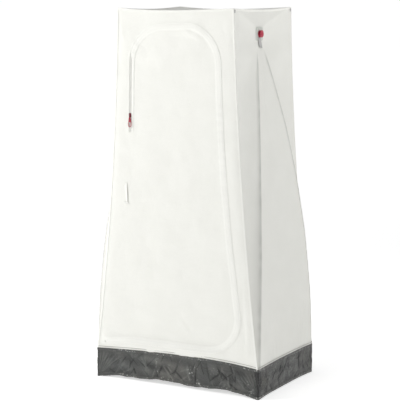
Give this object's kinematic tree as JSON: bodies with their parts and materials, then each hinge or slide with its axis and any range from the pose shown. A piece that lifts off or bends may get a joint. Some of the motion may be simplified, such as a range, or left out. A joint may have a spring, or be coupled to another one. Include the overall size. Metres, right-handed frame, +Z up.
{
  "type": "privacy shower tent",
  "caption": "Tall tapered one-person fabric cabin on an inner pole frame, with a zipped door, a grey tub floor and turn buttons that lock the shell to its side hubs.",
  "frame": {"origin": "on the ground, at the middle of the base", "axes": "+Z up, -Y towards the door, +X to the tent's right side"},
  "size_m": [0.99, 0.668, 2],
  "materials": {
    "cabin_fabric": "matt woven polyester, warm white",
    "tub_fabric": "coated woven polyethylene, satin, creased",
    "patch_fabric": "heavier woven polyester, light grey",
    "webbing": "woven webbing, mid grey",
    "zip_tape": "woven zip tape, off-white",
    "zip_coil": "nylon coil, off-white",
    "slider_metal": "dark red lacquer",
    "pull_plastic": "moulded red plastic",
    "button_plastic": "moulded red plastic",
    "toggle_plastic": "white moulded plastic",
    "hub_plastic": "fine textured dark grey nylon",
    "pole_fibreglass": "drawn fibreglass, dark grey, satin",
    "bar_aluminium": "anodised, satin",
    "ferrule_steel": "zinc plated",
    "eyelet_metal": "nickel plated",
    "elastic_cord": "braided elastic",
    "cap_rubber": "moulded black rubber"
  },
  "bodies": {
    "tent": {"front_wall": "cabin_fabric", "back_wall": "cabin_fabric", "left_wall": "cabin_fabric", "right_wall": "cabin_fabric", "roof_panel": "cabin_fabric", "tub_wall_front": "tub_fabric", "tub_wall_back": "tub_fabric", "tub_wall_left": "tub_fabric", "tub_wall_right": "tub_fabric", "floor_sheet": "tub_fabric", "hinge_binding": "cabin_fabric", "roof_corner_pockets": "cabin_fabric", "floor_corner_pockets": "webbing", "corner_loops": "webbing", "pole_ties": "webbing", "zip_tape_doorway": "zip_tape", "zip_coil_doorway": "zip_coil", "patch_left": "patch_fabric", "eyelet_left": "eyelet_metal", "webbing_tail_left": "webbing", "hub_left": "hub_plastic", "ridge_bar_left": "bar_aluminium", "roof_arm_front_left": "pole_fibreglass", "leg_front_left_lower": "pole_fibreglass", "leg_front_left_middle": "pole_fibreglass", "leg_front_left_upper": "pole_fibreglass", "roof_arm_back_left": "pole_fibreglass", "leg_back_left_lower": "pole_fibreglass", "leg_back_left_middle": "pole_fibreglass", "leg_back_left_upper": "pole_fibreglass", "patch_right": "patch_fabric", "eyelet_right": "eyelet_metal", "webbing_tail_right": "webbing", "hub_right": "hub_plastic", "ridge_bar_right": "bar_aluminium", "roof_arm_front_right": "pole_fibreglass", "leg_front_right_lower": "pole_fibreglass", "leg_front_right_middle": "pole_fibreglass", "leg_front_right_upper": "pole_fibreglass", "roof_arm_back_right": "pole_fibreglass", "leg_back_right_lower": "pole_fibreglass", "leg_back_right_middle": "pole_fibreglass", "leg_back_right_upper": "pole_fibreglass", "ridge_bar_ferrule": "bar_aluminium", "leg_ferrules": "ferrule_steel", "shock_cords": "elastic_cord", "foot_caps": "cap_rubber", "arm_tip_caps": "cap_rubber"},
    "door": {"door_panel": "cabin_fabric", "zip_tape_door": "zip_tape", "zip_coil_door": "zip_coil", "door_tie_strap": "cabin_fabric", "door_tie_toggle": "toggle_plastic"},
    "slider": {"zip_slider": "slider_metal"},
    "outer_pull": {"outer_pull_tab": "slider_metal", "outer_pull_grip": "pull_plastic"},
    "inner_pull": {"inner_pull_tab": "slider_metal", "inner_pull_grip": "pull_plastic"},
    "button_left": {"locking_button_left": "button_plastic"},
    "button_right": {"locking_button_right": "button_plastic"}
  },
  "joints": [
    {"name": "door_swing", "type": "hinge", "parent": "tent", "child": "door", "pos_m": [-0.262, -0.329, 1.352], "axis": [-0.1532, 0, -0.9882], "range_deg": [0, 100]},
    {"name": "slider_travel", "type": "slide", "parent": "tent", "child": "slider", "axis": [0.0175, 0, 0.9998], "range_m": [0, 0.25]},
    {"name": "outer_pull_swing", "type": "hinge", "parent": "slider", "child": "outer_pull", "pos_m": [-0.26955, -0.335, 1.44], "axis": [-1, 0, 0], "range_deg": [0, 165]},
    {"name": "inner_pull_swing", "type": "hinge", "parent": "slider", "child": "inner_pull", "pos_m": [-0.26955, -0.3218, 1.44], "axis": [1, 0, 0], "range_deg": [0, 165]},
    {"name": "button_right_turn", "type": "hinge", "parent": "tent", "child": "button_right", "pos_m": [0.333, 0, 1.865], "axis": [1, 0, 0], "range_deg": [0, 90]},
    {"name": "button_left_turn", "type": "hinge", "parent": "tent", "child": "button_left", "pos_m": [-0.333, 0, 1.865], "axis": [-1, 0, 0], "range_deg": [0, 90]}
  ]
}
